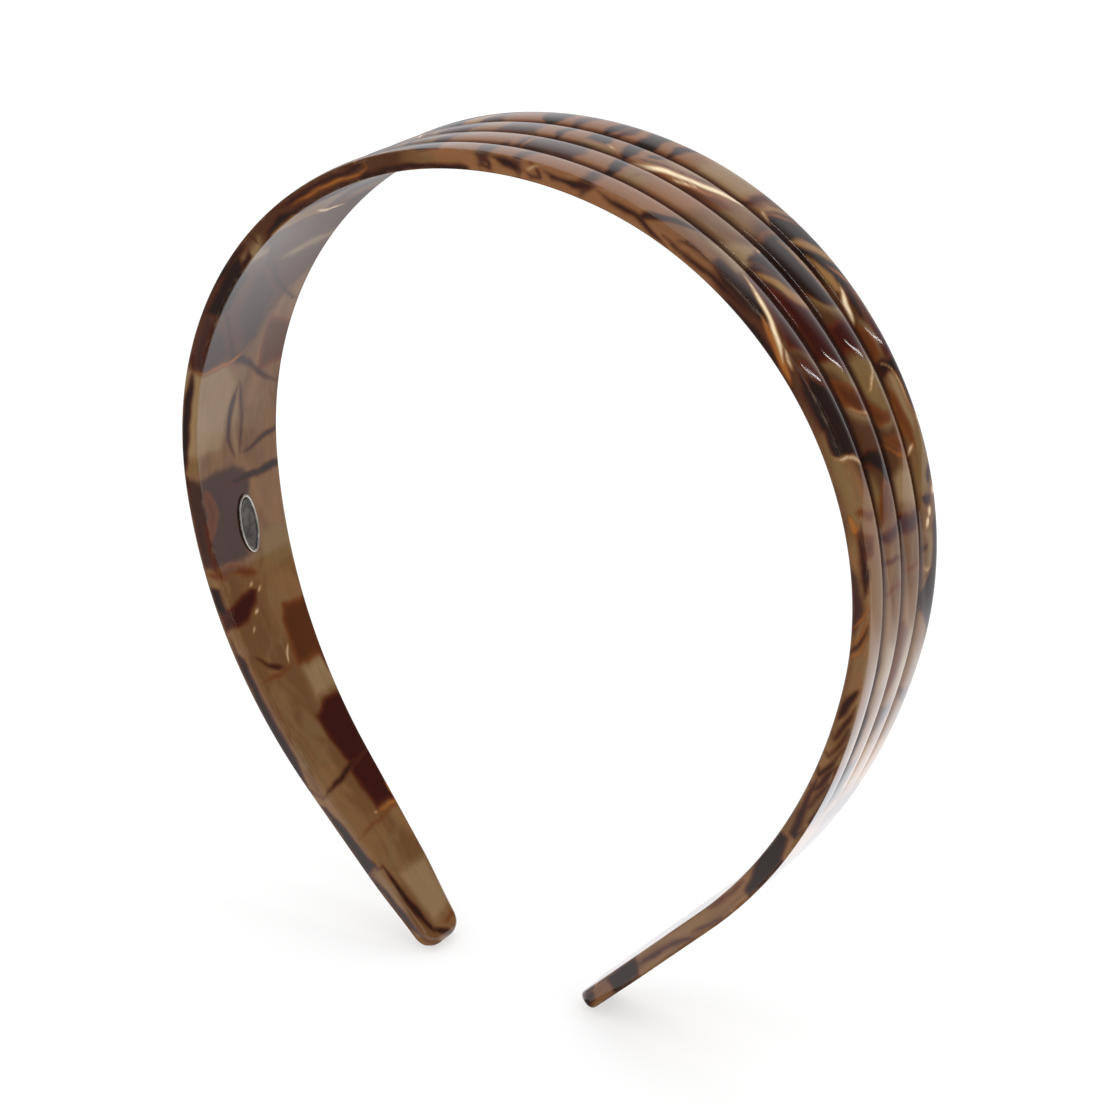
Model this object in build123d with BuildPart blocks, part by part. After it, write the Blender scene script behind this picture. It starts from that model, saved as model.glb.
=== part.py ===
from build123d import *

import os
from math import radians

# Wide cellulose-acetate headband: one tapered strip, milled with four long lobes on its outer
# face and bent to a horseshoe, with a small metal plaque let into the inner face of the left leg.
#
# The springy strip is held as seven short solids that roll on each other at six round knuckles,
# so that the arch can open and close. Right-hand pieces are modelled and left-hand ones mirrored.
#
# Frame: +X towards the right leg, -Y the front edge, +Z up, millimetres. The arch stands on its
# two tips, and the origin is on the ground under its middle.

# ---------------------------------------------------------------- driving dimensions (mm, degrees)

# Side view of the strip's middle line, from the top of the arch down one leg.
crown_radius, crown_angle = 73.15, 12.3
side_radius, side_angle = 62.85, 86.1
leg_radius, leg_angle = 100.15, 33.3
tip_length = 36.5

# Flat blank the strip is cut from: widest at the crown, its long edges curving in to the tips.
crown_width = 28.2
tip_width = 9.9
edge_flat = 0.05  # shaved off each long edge at the crown, which leaves a flat to rest on

# Cross-section: flat inner face, lobed outer face.
thickness = 3.5
lobe_count = 4
lobe_share = 0.54  # pitch of the lobes over half the width: the edges cut the outer two short
lobe_relief = 0.85  # height of a lobe above the grooves beside it
fade_start, fade_end = 96.0, 142.0  # distance from the crown over which the lobes die away
edge_radius = 0.55
tip_corner_radius = 3.4
tip_nose_radius = 1.3

# Knuckles: distance of each from the top of the arch, along the strip.
shoulder_knuckle = 30.0
arm_knuckle = 82.0
tip_knuckle = 150.0
knuckle_radius = 1.9
knuckle_clearance = 0.05

# Plaque on the inner face of the left arm, held by two posts.
plaque_distance = 120.0
plaque_length, plaque_height = 11.0, 5.0
plaque_thickness, plaque_sunk = 0.6, 0.35
plaque_rim, plaque_rim_height = 0.5, 0.15
plaque_fit = 0.04  # gap all round, in the seat and in the post holes
post_radius, post_length = 0.5, 1.0
post_spacing = 5.6

# How finely the strip is described, and the extra length that each tongue is cut from.
station_step = 7.0
overrun = 2.5

half_length = (
    radians(crown_angle) * crown_radius
    + radians(side_angle) * side_radius
    + radians(leg_angle) * leg_radius
    + tip_length
)


# ---------------------------------------------------------------- the arch and its cross-section

with BuildLine(Plane.XZ) as right_half:
    top = JernArc((0, 0), (1, 0), crown_radius, -crown_angle)
    side = JernArc(top @ 1, top % 1, side_radius, -side_angle)
    leg = JernArc(side @ 1, side % 1, leg_radius, -leg_angle)
    Line(leg @ 1, leg @ 1 + tip_length * (leg % 1))

half_arch = right_half.wire()
nose_centre = half_arch @ (1 - tip_nose_radius / half_length)
end_direction = half_arch % 1


def strip_plane(distance: float) -> Plane:
    """Cross-section plane: local X runs across the strip, local Y out of its outer face."""
    share = abs(distance) / half_length
    hand = -1 if distance < 0 else 1
    spot, along = half_arch @ share, half_arch % share
    origin = Vector(hand * spot.X, 0, spot.Z + apex_height)
    return Plane(origin, x_dir=(0, 1, 0), z_dir=(along.X, 0, hand * along.Z))


def strip_width(distance: float) -> float:
    """Width of the blank, whose long edges are gentle curves."""
    return crown_width + (tip_width - crown_width) * (distance / half_length) ** 2


def relief_at(distance: float) -> float:
    """Height of the lobes: full over the crown, then easing to nothing."""
    share = (fade_end - abs(distance)) / (fade_end - fade_start)
    share = min(1.0, max(0.0, share))
    return lobe_relief * share**2 * (3 - 2 * share)


def lobe_height(distance: float, share: float) -> float:
    """Height of a lobe above the middle line, from its crest (share 0) to a groove (share 1)."""
    return thickness / 2 - relief_at(distance) * share**2


def strip_section(distance: float) -> Sketch:
    """One slice across the strip: flat inside, a row of low lobes outside, rounded corners."""
    half = strip_width(distance) / 2
    lobe = lobe_share * half
    side_share = (1 - (lobe_count - 1) / 2 * lobe_share) * 2 / lobe_share
    inner, side = -thickness / 2, lobe_height(distance, side_share)
    with BuildSketch(strip_plane(distance)) as section:
        with BuildLine():
            Polyline((-half, side), (-half, inner), (half, inner), (half, side))
            for number in range(lobe_count):
                crest = (number - (lobe_count - 1) / 2) * lobe
                left_share = -side_share if number == 0 else -1
                right_share = side_share if number == lobe_count - 1 else 1
                left, right = crest + left_share * lobe / 2, crest + right_share * lobe / 2
                peak = thickness / 2 - relief_at(distance) * left_share * right_share
                Bezier(
                    (left, lobe_height(distance, left_share)),
                    ((left + right) / 2, peak),
                    (right, lobe_height(distance, right_share)),
                )
        make_face()
        corners = section.vertices().filter_by(lambda corner: abs(corner.Y) > half - lobe / 2)
        fillet(corners, edge_radius)
    return section.sketch


def strip_sections(start: float, end: float) -> list[Sketch]:
    """Evenly spaced slices between two distances from the top of the arch."""
    gaps = round((end - start) / station_step)
    return [strip_section(start + (end - start) * number / gaps) for number in range(gaps + 1)]


# The nose of each tip touches the ground.
nose_centre_depth = thickness / 2 - tip_nose_radius
lowest_drop = nose_centre.Z + nose_centre_depth * end_direction.X - tip_nose_radius
apex_height = -lowest_drop


# ---------------------------------------------------------------- knuckles and tip outline


def knuckle_plane(distance: float) -> Plane:
    """Side view on a knuckle's axis: local X runs along the strip, local Y out of it."""
    across = strip_plane(distance)
    return Plane(across.origin, x_dir=across.z_dir, z_dir=(0, -1, 0))


def socket(distance: float) -> Sketch:
    """Round hollow in the end of the piece nearer the crown."""
    with BuildSketch(knuckle_plane(distance)) as hollow:
        Circle(knuckle_radius + knuckle_clearance)
    return hollow.sketch


def tongue_waste(distance: float) -> Sketch:
    """What is cut off the next piece to leave it a round tongue, which rolls in the socket."""
    with BuildSketch(knuckle_plane(distance)) as waste:
        Rectangle(2 * overrun, 3 * thickness, align=(Align.MAX, Align.CENTER))
        Circle(knuckle_radius, mode=Mode.SUBTRACT)
    return waste.sketch


def tip_plane() -> Plane:
    """Plan view of the right tip: local X runs along the strip and ends at 0, local Y across."""
    end = strip_plane(half_length)
    return Plane(end.origin, x_dir=end.z_dir, z_dir=end.y_dir)


def tip_corner_waste() -> Sketch:
    """What is cut off the end of the tip to round its two corners, in plan."""
    reach = 3 * tip_corner_radius
    half_at_reach = strip_width(half_length - reach) / 2
    half_at_end = tip_width / 2
    with BuildSketch() as outline:
        with BuildLine():
            Polyline(
                (-reach, half_at_reach),
                (0, half_at_end),
                (0, -half_at_end),
                (-reach, -half_at_reach),
                close=True,
            )
        make_face()
        fillet(outline.vertices().group_by(Axis.X)[-1], tip_corner_radius)
    with BuildSketch(tip_plane()) as waste:
        Rectangle(reach, crown_width, align=(Align.MAX, Align.CENTER))
        add(outline.sketch, mode=Mode.SUBTRACT)
    return waste.sketch


# ---------------------------------------------------------------- strip pieces

os.makedirs("parts", exist_ok=True)

with BuildPart() as crown:
    loft(strip_sections(-shoulder_knuckle, shoulder_knuckle))
    for hand in (-1, 1):
        extrude(socket(hand * shoulder_knuckle), crown_width, both=True, mode=Mode.SUBTRACT)
    flat = crown_width / 2 - edge_flat
    split(bisect_by=Plane.XZ.offset(flat), keep=Keep.BOTTOM)
    split(bisect_by=Plane.XZ.offset(-flat), keep=Keep.TOP)
crown.part.label = "crown"
export_step(crown.part, "parts/crown.step")

with BuildPart() as right_shoulder:
    loft(strip_sections(shoulder_knuckle - overrun, arm_knuckle))
    extrude(tongue_waste(shoulder_knuckle), crown_width, both=True, mode=Mode.SUBTRACT)
    extrude(socket(arm_knuckle), crown_width, both=True, mode=Mode.SUBTRACT)
right_shoulder.part.label = "right_shoulder"
export_step(right_shoulder.part, "parts/right_shoulder.step")

with BuildPart() as right_arm:
    loft(strip_sections(arm_knuckle - overrun, tip_knuckle))
    extrude(tongue_waste(arm_knuckle), crown_width, both=True, mode=Mode.SUBTRACT)
    extrude(socket(tip_knuckle), crown_width, both=True, mode=Mode.SUBTRACT)
right_arm.part.label = "right_arm"
export_step(right_arm.part, "parts/right_arm.step")

with BuildPart() as right_tip:
    loft(strip_sections(tip_knuckle - overrun, half_length))
    extrude(tongue_waste(tip_knuckle), crown_width, both=True, mode=Mode.SUBTRACT)
    extrude(tip_corner_waste(), thickness, both=True, mode=Mode.SUBTRACT)
    end_plane = strip_plane(half_length)
    rim_height = thickness / 2 - edge_radius / 2
    nose_edges = ShapeList()
    for edge in right_tip.edges():
        spot = end_plane.to_local_coords(edge.center())
        if spot.Z > -tip_corner_radius and abs(spot.Y) > rim_height:
            nose_edges.append(edge)
    fillet(nose_edges, tip_nose_radius)
right_tip.part.label = "right_tip"
export_step(right_tip.part, "parts/right_tip.step")

with BuildPart() as left_shoulder:
    mirror(right_shoulder.part, about=Plane.YZ)
left_shoulder.part.label = "left_shoulder"
export_step(left_shoulder.part, "parts/left_shoulder.step")

with BuildPart() as left_tip:
    mirror(right_tip.part, about=Plane.YZ)
left_tip.part.label = "left_tip"
export_step(left_tip.part, "parts/left_tip.step")


# ---------------------------------------------------------------- plaque and its seat

# Both follow the leg's bend: local X runs along the strip, local Y across it, local Z inward.
plaque_section = strip_plane(-plaque_distance)
face_spot = plaque_section.origin - plaque_section.y_dir * (thickness / 2)
plaque_plane = Plane(face_spot, x_dir=plaque_section.z_dir, z_dir=-plaque_section.y_dir)
bend_radius = leg_radius - thickness / 2
bend_centre = face_spot + plaque_plane.z_dir * bend_radius
plaque_proud = plaque_thickness - plaque_sunk
seat_floor = plaque_plane.offset(-plaque_sunk)


def bent_oval(grow: float, bottom: float, top: float) -> Part:
    """Oval layer that follows the inner face, between two heights above that face."""
    with BuildPart() as layer:
        with BuildSketch(plaque_plane):
            Ellipse(plaque_length / 2 + grow, plaque_height / 2 + grow)
        extrude(amount=thickness, both=True)
        with BuildSketch(Plane(bend_centre, x_dir=(1, 0, 0), z_dir=(0, -1, 0))):
            Circle(bend_radius - bottom)
            Circle(bend_radius - top, mode=Mode.SUBTRACT)
        extrude(amount=plaque_length, both=True, mode=Mode.INTERSECT)
    return layer.part


def posts(grow: float) -> Part:
    """The two round posts behind the plaque, or with grow the holes they stand in."""
    with BuildPart() as pair:
        with BuildSketch(seat_floor.offset(-post_length - grow)):
            with GridLocations(post_spacing, 0, 2, 1):
                Circle(post_radius + grow)
        extrude(amount=post_length + plaque_sunk / 2)
    return pair.part


with BuildPart() as left_arm:
    mirror(right_arm.part, about=Plane.YZ)
    add(bent_oval(plaque_fit, -plaque_sunk, thickness), mode=Mode.SUBTRACT)
    add(posts(plaque_fit), mode=Mode.SUBTRACT)
left_arm.part.label = "left_arm"
export_step(left_arm.part, "parts/left_arm.step")

with BuildPart() as plaque:
    add(bent_oval(0, plaque_fit - plaque_sunk, plaque_proud + plaque_rim_height))
    add(bent_oval(-plaque_rim, plaque_proud, thickness), mode=Mode.SUBTRACT)
    add(posts(0))
plaque.part.label = "plaque"
export_step(plaque.part, "parts/plaque.step")
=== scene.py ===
"""Tortoiseshell acetate headband: the flexing strip, its blank plaque, and a plain white studio.

The strip is one milled and bent piece of acetate. It is built here as six closed meshes that meet
at planes where nothing bends, so that each one spans a single knuckle of the frame.
The strip and the plaque are described in millimetres, and the studio and camera in metres.
"""

import math
import random
from functools import partial

import bmesh
import bpy
import numpy as np
from mathutils import Matrix, Vector


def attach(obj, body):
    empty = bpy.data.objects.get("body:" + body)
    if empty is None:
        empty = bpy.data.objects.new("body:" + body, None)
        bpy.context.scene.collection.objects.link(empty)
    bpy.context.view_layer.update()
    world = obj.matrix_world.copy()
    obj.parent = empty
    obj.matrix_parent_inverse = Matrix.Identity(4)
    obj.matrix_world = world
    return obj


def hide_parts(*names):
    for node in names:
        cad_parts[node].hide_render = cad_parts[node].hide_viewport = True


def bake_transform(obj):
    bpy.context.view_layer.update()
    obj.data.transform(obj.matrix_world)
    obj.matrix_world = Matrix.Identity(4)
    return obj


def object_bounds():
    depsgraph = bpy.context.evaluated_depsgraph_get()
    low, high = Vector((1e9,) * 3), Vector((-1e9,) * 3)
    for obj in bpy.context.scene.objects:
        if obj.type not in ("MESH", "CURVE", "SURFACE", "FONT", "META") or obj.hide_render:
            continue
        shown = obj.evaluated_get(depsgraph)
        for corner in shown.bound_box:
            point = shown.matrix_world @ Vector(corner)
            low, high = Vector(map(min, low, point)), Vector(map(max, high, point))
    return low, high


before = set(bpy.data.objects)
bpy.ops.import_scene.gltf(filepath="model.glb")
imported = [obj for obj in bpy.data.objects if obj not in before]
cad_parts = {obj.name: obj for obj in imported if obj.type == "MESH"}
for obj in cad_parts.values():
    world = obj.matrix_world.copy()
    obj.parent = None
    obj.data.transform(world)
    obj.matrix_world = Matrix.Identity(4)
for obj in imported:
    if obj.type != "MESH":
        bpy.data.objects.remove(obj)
cad_low, cad_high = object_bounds()

MM = 0.001

# ------------------------------------------------------------------ the strip's shape

# Middle line of one leg, from the top of the arch: (radius, angle in degrees) of each bend.
BENDS = ((73.15, 12.3), (62.85, 86.1), (100.15, 33.3))
TIP_LENGTH = 36.5
HALF_LENGTH = sum(radius * math.radians(angle) for radius, angle in BENDS) + TIP_LENGTH

THICKNESS = 3.5
CROWN_WIDTH, TIP_WIDTH = 28.1, 9.9
APEX_HEIGHT = cad_high.z / MM - THICKNESS / 2

LOBES = 4
LOBE_SHARE = 0.54
LOBE_RELIEF = 0.85
# Where the long edges cut the outer two lobes, as a share of the way from crest to groove.
SIDE_SHARE = (1 - (LOBES - 1) / 2 * LOBE_SHARE) * 2 / LOBE_SHARE
# Lobes have flat crests and steep flanks: this much of the drop goes by share^4, the rest by share^2.
LOBE_SQUARENESS = 0.7
FADE_START, FADE_END = 96.0, 142.0
EDGE_RADIUS, TIP_EDGE_RADIUS = 0.5, 1.45
TIP_CORNER, TIP_NOSE = 3.4, 1.5

# Distances along the strip of the knuckles, and of the planes where the meshes meet.
KNUCKLES = {"shoulder": 30.0, "arm": 82.0, "tip": 150.0}
SEAMS = (0.0, 56.0, 112.0, HALF_LENGTH)
BEND_REACH = {"shoulder": 25.0, "arm": 25.0, "tip": 20.0}

RING_STEP = 0.35
TIP_RINGS = 14
INNER_STEPS, EDGE_STEPS, CORNER_STEPS, LOBE_STEPS = 52, 8, 6, 18


def smooth(value, low, high):
    """Smooth step from 0 at low to 1 at high."""
    share = np.clip((value - low) / (high - low), 0.0, 1.0)
    return share * share * (3 - 2 * share)


def lobe_drop(share):
    """Depth below the crest, as a part of the relief, at a share of the way to the groove."""
    return LOBE_SQUARENESS * share**4 + (1 - LOBE_SQUARENESS) * share**2


def lobe_slope(share):
    return 4 * LOBE_SQUARENESS * share**3 + 2 * (1 - LOBE_SQUARENESS) * share


EDGE_HEIGHT = THICKNESS - LOBE_RELIEF * lobe_drop(SIDE_SHARE)


def middle_line(distance):
    """Place and outward direction of the strip's middle at signed distances from its top."""
    hand = np.where(distance < 0, -1.0, 1.0)
    left = np.abs(distance)
    x, z, turn = np.zeros_like(left), np.zeros_like(left), np.zeros_like(left)
    for radius, angle in BENDS:
        step = np.minimum(left, radius * math.radians(angle)) / radius
        x += radius * (np.sin(turn + step) - np.sin(turn))
        z += radius * (np.cos(turn + step) - np.cos(turn))
        turn += step
        left = left - step * radius
    x += left * np.cos(turn)
    z -= left * np.sin(turn)
    origin = np.stack([hand * x, 0 * x, z + APEX_HEIGHT], axis=-1)
    outward = np.stack([hand * np.sin(turn), 0 * x, np.cos(turn)], axis=-1)
    return origin, outward


def half_width(distance):
    return (CROWN_WIDTH + (TIP_WIDTH - CROWN_WIDTH) * (distance / HALF_LENGTH) ** 2) / 2


def section(distance):
    """Closed outline of one slice: across and outward coordinates of its points, in order."""
    away = abs(distance)
    end = HALF_LENGTH - away
    nose = TIP_NOSE - math.sqrt(TIP_NOSE**2 - max(0.0, TIP_NOSE - end) ** 2)
    corner = TIP_CORNER - math.sqrt(TIP_CORNER**2 - max(0.0, TIP_CORNER - end) ** 2)
    half = half_width(away) - corner
    thick = THICKNESS / 2 - nose
    radius = EDGE_RADIUS + (TIP_EDGE_RADIUS - EDGE_RADIUS) * smooth(end, 16.0, 3.0)
    radius = min(radius, thick * 0.98)
    relief = LOBE_RELIEF * smooth(away, FADE_END, FADE_START)
    lobe = LOBE_SHARE * half

    def height(across):
        number = np.clip(np.floor(across / lobe) + LOBES / 2, 0, LOBES - 1)
        crest = (number - (LOBES - 1) / 2) * lobe
        return thick - relief * lobe_drop(2 * (across - crest) / lobe)

    # The outer corner is an arc that leaves the last lobe at that lobe's own slope.
    slope = math.atan(2 * relief / lobe * lobe_slope(SIDE_SHARE - radius / lobe))
    start = half - radius + radius * math.sin(slope)
    centre_height = height(start) - radius * math.cos(slope)

    turn = np.linspace(0, math.pi / 2, CORNER_STEPS + 1)
    points = [np.stack([np.linspace(-half + radius, half - radius, INNER_STEPS + 1),
                        np.full(INNER_STEPS + 1, -thick)])[:, :-1]]
    points.append(np.stack([half - radius + radius * np.sin(turn),
                            -thick + radius - radius * np.cos(turn)])[:, :-1])
    points.append(np.stack([np.full(EDGE_STEPS + 1, half),
                            np.linspace(-thick + radius, centre_height, EDGE_STEPS + 1)])[:, :-1])
    outer_turn = np.linspace(math.pi / 2, slope, CORNER_STEPS + 1)
    points.append(np.stack([half - radius + radius * np.sin(outer_turn),
                            centre_height + radius * np.cos(outer_turn)])[:, :-1])
    share = (1 - np.cos(np.linspace(0, math.pi, LOBE_STEPS + 1))) / 2
    lobe_edges = lobe * (LOBES / 2 - np.arange(LOBES + 1))
    lobe_edges[0], lobe_edges[-1] = start, -start
    across = np.concatenate([
        lobe_edges[k] + (lobe_edges[k + 1] - lobe_edges[k]) * share[:-1] for k in range(LOBES)])
    points.append(np.stack([across, height(across)]))
    points.append(np.stack([-(half - radius + radius * np.sin(outer_turn[::-1])),
                            centre_height + radius * np.cos(outer_turn[::-1])])[:, :-1])
    points.append(np.stack([np.full(EDGE_STEPS + 1, -half),
                            np.linspace(centre_height, -thick + radius, EDGE_STEPS + 1)])[:, :-1])
    points.append(np.stack([-half + radius - radius * np.cos(turn),
                            -thick + radius - radius * np.sin(turn)])[:, :-1])
    return np.concatenate(points, axis=1).T


ZONE_OF_POINT = np.concatenate([
    np.full(INNER_STEPS, 0), np.full(CORNER_STEPS // 2, 0),
    np.full(CORNER_STEPS - CORNER_STEPS // 2 + EDGE_STEPS + CORNER_STEPS // 2, 1),
    np.full(CORNER_STEPS - CORNER_STEPS // 2 + LOBES * LOBE_STEPS + CORNER_STEPS // 2, 2),
    np.full(CORNER_STEPS - CORNER_STEPS // 2 + EDGE_STEPS + CORNER_STEPS // 2, 3),
    np.full(CORNER_STEPS - CORNER_STEPS // 2, 0)])


# ------------------------------------------------------------------ the pattern in the acetate

# Pigments from the lowest layer to the highest. Each has a distance, in millimetres, to the
# nearest shape of that pigment, which the material turns into a mask with a soft, wandering
# outline. FAR stands for none near.
PIGMENTS = ("haze", "tan", "straw", "olive", "ash", "cognac", "wine", "umber", "honey", "amber",
            "pearl")
FAR = 5.0
# A pigment listed twice turns up twice as often among the random flakes. The bands are the ranges
# across a face that they fill: over the lobes, where the lobes have died away, and inside.
FLAKES = ("umber", "wine", "wine", "cognac", "cognac", "haze", "haze", "straw", "olive", "ash", "ash",
          "honey")
LOBE_BANDS = ((0.0, 1.0), (1.0, 2.0), (2.0, 3.0), (3.0, 4.3))
PLAIN_BANDS = ((0.0, 1.9), (1.6, 4.3))
INNER_BANDS = ((-1.0, -0.1), (-0.4, 0.5), (0.2, 1.2))

# Shapes are drawn on one face in (distance along the strip, share across it from -1 to 1).
# Across the inner face -1 is the front edge and 1 the back, and across an edge -1 is its inside.
# On the outer face the share counts lobes instead, from 0 at the front edge to 4 at the back.
shapes = {pigment: [] for pigment in PIGMENTS}


def streak(face, pigment, width, *points):
    """A shard of pigment: a line through the points, widest in the middle and pointed at its ends."""
    shapes[pigment].append(("streak", face, width, points))


def patch(face, pigment, *points):
    """A flake of pigment with straight sides."""
    shapes[pigment].append(("patch", face, 0.0, points))


def brushes(face):
    """The two calls above, for drawing on one face."""
    return partial(streak, face), partial(patch, face)


def scatter(face, start, end, bands, seed):
    """Random leaning flakes, with fine lines beside some of them, along each band of a face."""
    pick = random.Random(seed)
    for low, high in bands:
        middle = (low + high) / 2
        place = start
        while place < end:
            length = pick.uniform(2.0, 10.0)
            lean, bow, flare = pick.uniform(-5, 5), pick.uniform(-1.5, 1.5), pick.uniform(-2, 2)
            patch(face, pick.choice(FLAKES), (place, low), (place + length, low),
                  (place + length + lean / 2 + bow, middle), (place + length + lean + flare, high),
                  (place + lean, high), (place + lean / 2 + bow, middle))
            if pick.random() < 0.4:
                streak(face, pick.choice(("pearl", "amber", "umber")), pick.uniform(0.4, 1.2),
                       (place - 0.4, low), (place + lean / 2 + bow, middle), (place + lean + 1.0, high))
            place += length * pick.uniform(0.8, 1.7)


def flow(face, start, end, seed):
    """Long dark lines that wander along a narrow edge."""
    pick = random.Random(seed)
    place = start
    while place < end:
        length, width = pick.uniform(6, 16), pick.uniform(0.5, 1.6)
        heights = [pick.uniform(-1.1, 1.1)]
        heights += [heights[0] + pick.uniform(-0.7, 0.7) for _ in range(2)]
        points = [(place + length * k / 2, height) for k, height in enumerate(heights)]
        streak(face, pick.choice(("umber", "umber", "wine", "amber")), width, *points)
        place += pick.uniform(2, 6)


def face_across(face, distance, share):
    """Millimetres across a face, from its middle, of a share across it."""
    if face == "outer":
        grooves = [-1.0, -LOBE_SHARE, 0.0, LOBE_SHARE, 1.0]
        inside = np.interp(share, range(LOBES + 1), grooves)
        outside = min(share, 0.0) + max(share - LOBES, 0.0)
        return (inside + outside) * half_width(distance)
    return share * (EDGE_HEIGHT / 2 if face.endswith("edge") else half_width(distance))


def segment_distance(place, start, end):
    """Distance of each place from a segment, and its share of the way along."""
    run = end - start
    share = np.clip(((place - start) @ run) / max(run @ run, 1e-9), 0.0, 1.0)
    return np.linalg.norm(place - start - share[:, None] * run, axis=1), share


def shape_distance(kind, width, corners, place):
    ends = corners if kind == "streak" else np.vstack([corners, corners[:1]])
    lengths = np.linalg.norm(np.diff(ends, axis=0), axis=1)
    passed = np.concatenate([[0.0], np.cumsum(lengths)])
    nearest = np.full(len(place), 1e3)
    inside = np.zeros(len(place), bool)
    for k in range(len(ends) - 1):
        gap, share = segment_distance(place, ends[k], ends[k + 1])
        if kind == "streak":
            along = (passed[k] + share * lengths[k]) / passed[-1]
            gap = gap - width / 2 * (1 - np.abs(2 * along - 1) ** 3)
        else:
            low, high = sorted((ends[k], ends[k + 1]), key=lambda end: end[1])
            crosses = (place[:, 1] >= low[1]) & (place[:, 1] < high[1])
            reach = low[0] + (place[:, 1] - low[1]) / max(high[1] - low[1], 1e-9) * (high[0] - low[0])
            inside ^= crosses & (place[:, 0] < reach)
        nearest = np.minimum(nearest, gap)
    return np.where(inside, -nearest, nearest)


def wavering(place, amount):
    """Bends places gently, so that drawn lines and corners look as if they had flowed."""
    along, over = place[:, 0], place[:, 1]
    return place + amount * np.stack([
        0.55 * np.sin(0.85 * over + 0.31 * along) + 0.25 * np.sin(2.1 * over - 0.7 * along + 1.0),
        0.28 * np.sin(0.43 * along + 0.8 * over + 2.0) + 0.14 * np.sin(1.3 * along + 0.5 * over)], axis=1)


def face_places(face, distance, across, depth, zone):
    """Coordinates on one face laid flat, with its neighbours folded out round it."""
    half = half_width(distance)
    side, hidden = np.sign(across), 1e3
    climb = np.clip(depth + THICKNESS / 2, 0, EDGE_HEIGHT)
    if face == "outer":
        flat = np.where(zone == 2, across, side * (half + EDGE_HEIGHT - climb))
        flat = np.where(zone == 0, hidden, flat)
    elif face == "inner":
        flat = np.where(zone == 0, across, side * (half + climb))
        flat = np.where(zone == 2, hidden, flat)
    else:
        hand = -1 if face == "front_edge" else 1
        flat = np.where(zone == 2, EDGE_HEIGHT / 2 + half - hand * across, climb - EDGE_HEIGHT / 2)
        flat = np.where(zone == 0, -EDGE_HEIGHT / 2 - half + hand * across, flat)
        flat = np.where(zone == (1 if hand < 0 else 3), hidden, flat)
    return wavering(np.stack([distance, flat], axis=1), 0.25 if face == "inner" else 0.5)


def pigment_distance(pigment, distance, across, depth, zone):
    nearest = np.full(len(distance), FAR)
    places = {face: face_places(face, distance, across, depth, zone)
              for face in ("outer", "inner", "front_edge", "back_edge")}
    for kind, face, width, points in shapes[pigment]:
        corners = np.array([(s, face_across(face, s, v)) for s, v in points], float)
        place = places[face]
        margin = FAR + width / 2
        near = np.all((place > corners.min(0) - margin) & (place < corners.max(0) + margin), axis=1)
        if near.any():
            gap = shape_distance(kind, width, corners, place[near])
            nearest[near] = np.minimum(nearest[near], gap)
    return nearest


def paint_crown():
    """Outer face round the top of the arch: dark bars across tan, and a long pearl shard."""
    line, flake = brushes("outer")
    flake("tan", (-16, -0.4), (24, -0.4), (32, 4.4), (-16, 4.4))
    for start, width in ((-6.4, 3.0), (0.4, 2.2), (12.5, 2.4)):
        line("ash", width, (start, -0.2), (start, 1.2))
    flake("ash", (-4.8, 1.0), (6.2, 1.0), (6.6, 1.5), (5.4, 2.05), (-3.4, 2.05), (-4.4, 1.5))
    line("amber", 0.7, (-3.6, 0.9), (-2.8, 1.5), (-3.0, 2.1))
    line("umber", 2.6, (12.6, 0.9), (12.4, 1.5), (12.0, 2.1))
    line("cognac", 0.8, (15.5, 1.1), (16.6, 1.6), (19.5, 1.9), (24, 2.0))
    flake("olive", (14, 1.0), (18, 1.0), (19, 1.3), (16.5, 1.8), (14.2, 1.6))
    flake("ash", (-13, 2.05), (-5.6, 2.05), (-5.2, 3.0), (-12, 3.0))
    line("umber", 1.7, (-1.4, 2.0), (-1.6, 2.5), (-1.2, 3.05))
    flake("umber", (2.6, 2.3), (6.6, 2.3), (6.4, 2.7), (5.6, 3.05), (2.2, 3.05), (2.0, 2.7))
    line("olive", 2.6, (2.6, 2.1), (6, 2.1), (9.2, 2.02))
    line("pearl", 0.5, (6.6, 2.34), (7.6, 2.24), (8.6, 2.2))
    line("umber", 3.0, (11, 1.98), (10.4, 2.3), (10.4, 2.7), (10.6, 3.1))
    line("umber", 1.5, (13.4, 2.42), (14.8, 2.65), (15.4, 3.05))
    line("pearl", 1.6, (10.0, 1.98), (14, 2.06), (20, 2.3), (26, 2.62), (32.6, 3.0))
    line("umber", 0.8, (10.5, 2.12), (18, 2.42), (25, 2.82), (29, 3.02))
    line("straw", 2.6, (16, 2.62), (20, 2.8), (25, 2.98))
    line("cognac", 2.6, (21, 2.04), (25, 2.2), (30, 2.3))
    line("amber", 1.0, (15.5, 2.02), (21, 2.1), (28, 2.45))
    line("pearl", 0.7, (19.5, 2.06), (22, 2.16), (24, 2.3))
    line("umber", 5.0, (-8, 3.0), (-7.6, 3.5), (-7.0, 4.1))
    line("ash", 2.4, (-2.6, 2.95), (-2.2, 3.5), (-1.4, 4.1))
    line("umber", 2.2, (3.2, 2.95), (3.6, 3.5), (4.4, 4.1))
    line("wine", 2.2, (5.4, 3.0), (5.8, 3.5), (6.6, 4.1))
    flake("umber", (8.4, 2.95), (12.0, 2.95), (12.2, 3.5), (13.2, 4.15), (9.4, 4.15), (8.7, 3.5))
    line("umber", 2.0, (14.6, 2.95), (15.2, 3.5), (16.4, 4.1))
    flake("straw", (20, 3.0), (28.2, 3.0), (29.5, 4.1), (19.5, 4.1))


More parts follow.
